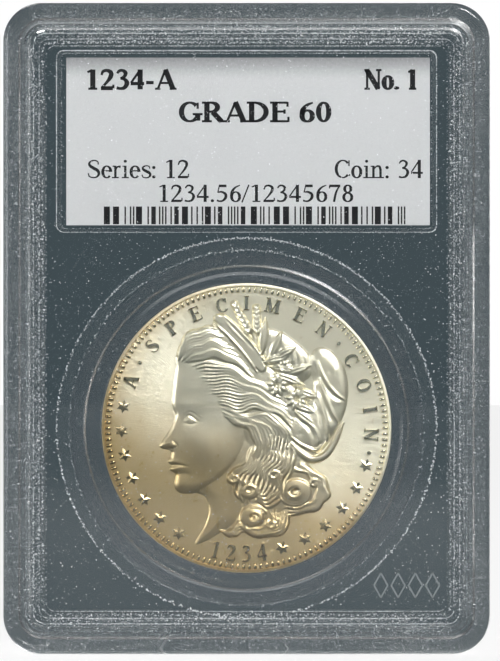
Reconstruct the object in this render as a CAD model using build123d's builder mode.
"""Graded coin slab: a sealed clear holder for one large silver coin and its printed label.

The slab stands upright on its bottom edge. X is the width, Y is the thickness and Z is the height.
The front faces -Y. The origin is the middle of the bottom edge, on the parting plane of the two halves.
All sizes are in millimetres.
"""
import os
from math import atan2, degrees

from build123d import *

os.makedirs("parts", exist_ok=True)

# Outside of the slab
width = 63.5
height = 85.0
thickness = 7.9
corner_radius = 5.0
edge_round = 0.8

# Stacking rim, which stands proud of the face panels all round, front and rear
rim_width = 2.0
rim_slope = 0.7
recess_depth = 0.6

# Moulded walls, and the fine seam between the two halves
panel_thickness = 1.4
side_wall = 3.1
wall_draft = 12.0
seam_gap = 0.04
seam_chamfer = 0.2

# Weld tongues on the front half, in grooves on the rear half
tongue_width = 0.8
tongue_reach = 0.9
tongue_clearance = 0.05
tip_clearance = 0.05
groove_wall = 0.45
side_tongue_inset = 4.4
end_tongue_inset = 4.9
side_tongue_length = 62.0
end_tongue_length = 43.0

# Coin
coin_height = 29.5
coin_diameter = 38.1
coin_thickness = 2.4
coin_rim_width = 1.0
coin_rim_depth = 0.22
coin_edge_step = 0.15
reed_count = 180
reed_radius = 0.16

# Round well, and the soft ring in it
well_radius = 24.9
well_wall = 1.8
ring_outer_clearance = 0.1
coin_clearance = 0.08
lip_width = 0.9
lip_half = 1.85
lip_groove_width = 0.4
lip_groove_half = 1.45
shoulder_half = 1.65
web_radius = 21.5
web_half = 1.1
bead_width = 0.6
bead_half = 1.5

# Label pocket, with ribs that press the paper label against the front panel
pocket_width = 49.8
pocket_top = 78.9
pocket_bottom = 55.0
pocket_side_wall = 0.7
pocket_end_wall = 0.5
pocket_corner = 1.0
label_width = 47.5
label_height = 21.9
label_middle = 66.95
label_shift = 0.2
label_thickness = 0.3
label_gap = 0.03
press_gap = 0.02
press_rib_width = 0.8
press_rib_length = 40.0
press_rib_pitch = 8.0
press_rib_count = 3

# Foil label on the back
foil_width = 44.0
foil_height = 19.0
foil_thickness = 0.1
foil_corner = 1.5
adhesive_gap = 0.02

# Moulded mark and ejector pin mark on the front half
diamond_count = 4
diamond_pitch = 2.25
diamond_width = 2.1
diamond_height = 3.8
diamond_line = 0.3
diamond_raise = 0.15
diamond_row = (20.9, 9.0)
pin_mark_radius = 1.55
pin_mark_depth = 0.08
pin_mark_place = (-23.3, 10.1)

# Worked out from the sizes above
half_thickness = thickness / 2
panel_outside = half_thickness - recess_depth
panel_inside = panel_outside - panel_thickness
rim_draft = degrees(atan2(rim_slope, recess_depth))
mid_height = height / 2
pocket_height = pocket_top - pocket_bottom
pocket_middle = (pocket_top + pocket_bottom) / 2
groove_width = tongue_width + 2 * tongue_clearance
label_back = panel_inside - label_gap - label_thickness
coin_radius = coin_diameter / 2
bore_radius = coin_radius + coin_clearance
ring_radius = well_radius - well_wall - ring_outer_clearance

# Each half is drawn on a plane that faces out of the slab, away from the parting plane
front = Plane.XZ
rear = Plane(origin=(0, 0, 0), x_dir=(-1, 0, 0), z_dir=(0, 1, 0))


def outline(inset):
    """Rounded outline of the slab, drawn in from its edge by the inset."""
    with Locations((0, mid_height)):
        RectangleRounded(width - 2 * inset, height - 2 * inset, corner_radius - 0.9 * inset)


def add_tray(face):
    """Side walls, stacking rim and face panel of one half, open at the parting plane."""
    outward = Axis(face.origin, face.z_dir)
    with BuildSketch(face.offset(seam_gap)) as whole:
        outline(0)
    block = extrude(whole.sketch, amount=half_thickness - seam_gap)
    fillet(block.edges().group_by(outward)[-1], radius=edge_round)
    chamfer(block.edges().group_by(outward)[0], length=seam_chamfer)
    with BuildSketch(face.offset(panel_outside)) as recess:
        outline(rim_width + rim_slope)
    extrude(recess.sketch, amount=recess_depth, taper=-rim_draft, mode=Mode.SUBTRACT)
    with BuildSketch(face) as cavity:
        outline(side_wall)
    extrude(cavity.sketch, amount=panel_inside, taper=wall_draft, mode=Mode.SUBTRACT)


def add_well(face):
    """Round wall that holds the ring, from the panel to the seam."""
    with BuildSketch(face.offset(seam_gap)) as wall:
        with Locations((0, coin_height)):
            Circle(well_radius)
            Circle(well_radius - well_wall, mode=Mode.SUBTRACT)
    extrude(wall.sketch, amount=panel_inside - seam_gap)


def add_pocket(face):
    """Rectangular wall around the paper label, from the panel to the seam."""
    inner_width = pocket_width - 2 * pocket_side_wall
    inner_height = pocket_height - 2 * pocket_end_wall
    with BuildSketch(face.offset(seam_gap)) as wall:
        with Locations((0, pocket_middle)):
            RectangleRounded(pocket_width, pocket_height, pocket_corner)
            RectangleRounded(inner_width, inner_height, pocket_corner / 2, mode=Mode.SUBTRACT)
    extrude(wall.sketch, amount=panel_inside - seam_gap)


def tongue_bars(bar_width):
    """Four straight bars along the edges, which stop short of the corners."""
    side_x = width / 2 - side_tongue_inset
    end_z = mid_height - end_tongue_inset
    with Locations((-side_x, mid_height), (side_x, mid_height)):
        Rectangle(bar_width, side_tongue_length)
    with Locations((0, mid_height - end_z), (0, mid_height + end_z)):
        Rectangle(end_tongue_length, bar_width)


with BuildPart() as front_shell:
    add_tray(front)
    add_well(front)
    add_pocket(front)
    # Weld tongues, which reach past the parting plane into the rear half
    with BuildSketch(front.offset(-tongue_reach)):
        tongue_bars(tongue_width)
    extrude(amount=tongue_reach + panel_inside)
    # Moulded mark: a row of outlined diamonds, raised on the face panel
    with BuildSketch(front.offset(panel_outside)):
        with Locations(diamond_row):
            with GridLocations(diamond_pitch, 0, diamond_count, 1):
                diamond = [
                    (diamond_width / 2, 0),
                    (0, diamond_height / 2),
                    (-diamond_width / 2, 0),
                    (0, -diamond_height / 2),
                ]
                Polygon(*diamond)
        offset(amount=-diamond_line, kind=Kind.INTERSECTION, mode=Mode.SUBTRACT)
    extrude(amount=diamond_raise)
    # Ejector pin mark, a shallow round dent inside the face panel
    with BuildSketch(front.offset(panel_inside)):
        with Locations(pin_mark_place):
            Circle(pin_mark_radius)
    extrude(amount=pin_mark_depth, mode=Mode.SUBTRACT)

front_shell.part.label = "front_shell"
export_step(front_shell.part, "parts/front_shell.step")


with BuildPart() as rear_shell:
    add_tray(rear)
    add_well(rear)
    add_pocket(rear)
    # Ribs with a groove for each weld tongue
    with BuildSketch(rear.offset(seam_gap)):
        tongue_bars(groove_width + 2 * groove_wall)
    extrude(amount=panel_inside - seam_gap)
    with BuildSketch(rear):
        tongue_bars(groove_width)
    extrude(amount=tongue_reach + tip_clearance, mode=Mode.SUBTRACT)
    # Ribs that press the paper label forward
    with BuildSketch(rear.offset(press_gap - label_back)):
        with Locations((0, label_middle)):
            with GridLocations(0, press_rib_pitch, 1, press_rib_count):
                Rectangle(press_rib_length, press_rib_width)
    extrude(amount=label_back - press_gap + panel_inside)

rear_shell.part.label = "rear_shell"
export_step(rear_shell.part, "parts/rear_shell.step")


with BuildPart() as coin_ring:
    # Half section of the ring: lip at the coin, groove, shoulder, thin web and outer bead
    upper = [
        (bore_radius, lip_half),
        (bore_radius + lip_width, lip_half),
        (bore_radius + lip_width, lip_groove_half),
        (bore_radius + lip_width + lip_groove_width, shoulder_half),
        (web_radius - lip_groove_width, shoulder_half),
        (web_radius, web_half),
        (ring_radius - bead_width, web_half),
        (ring_radius - bead_width, bead_half),
        (ring_radius, bead_half),
    ]
    lower = [(radius, -half) for radius, half in reversed(upper)]
    with BuildSketch(Plane.XY.offset(coin_height)):
        with BuildLine():
            Polyline(*upper, *lower, close=True)
        make_face()
    revolve(axis=Axis((0, 0, coin_height), (0, 1, 0)))

coin_ring.part.label = "coin_ring"
export_step(coin_ring.part, "parts/coin_ring.step")


with BuildPart() as coin:
    # Reeded drum
    with BuildSketch(front.offset(coin_edge_step - coin_thickness / 2)):
        with Locations((0, coin_height)):
            Circle(coin_radius)
            with PolarLocations(coin_radius + reed_radius / 2, reed_count):
                Circle(reed_radius, mode=Mode.SUBTRACT)
    extrude(amount=coin_thickness - 2 * coin_edge_step)
    # Plain disc through it, whose edges are the tops of the rims
    with BuildSketch(front.offset(-coin_thickness / 2)):
        with Locations((0, coin_height)):
            Circle(coin_radius - coin_edge_step)
    extrude(amount=coin_thickness)
    # Raised rims: the field is sunk on both faces
    for face in (front, rear):
        with BuildSketch(face.offset(coin_thickness / 2 - coin_rim_depth)):
            with Locations((0, coin_height)):
                Circle(coin_radius - coin_rim_width)
        extrude(amount=coin_rim_depth, mode=Mode.SUBTRACT)

coin.part.label = "coin"
export_step(coin.part, "parts/coin.step")


with BuildPart() as grade_label:
    with BuildSketch(front.offset(label_back)):
        with Locations((label_shift, label_middle)):
            Rectangle(label_width, label_height)
    extrude(amount=label_thickness)

grade_label.part.label = "grade_label"
export_step(grade_label.part, "parts/grade_label.step")


with BuildPart() as rear_security_label:
    with BuildSketch(rear.offset(panel_outside + adhesive_gap)):
        with Locations((0, pocket_middle)):
            RectangleRounded(foil_width, foil_height, foil_corner)
    extrude(amount=foil_thickness)

rear_security_label.part.label = "rear_security_label"
export_step(rear_security_label.part, "parts/rear_security_label.step")
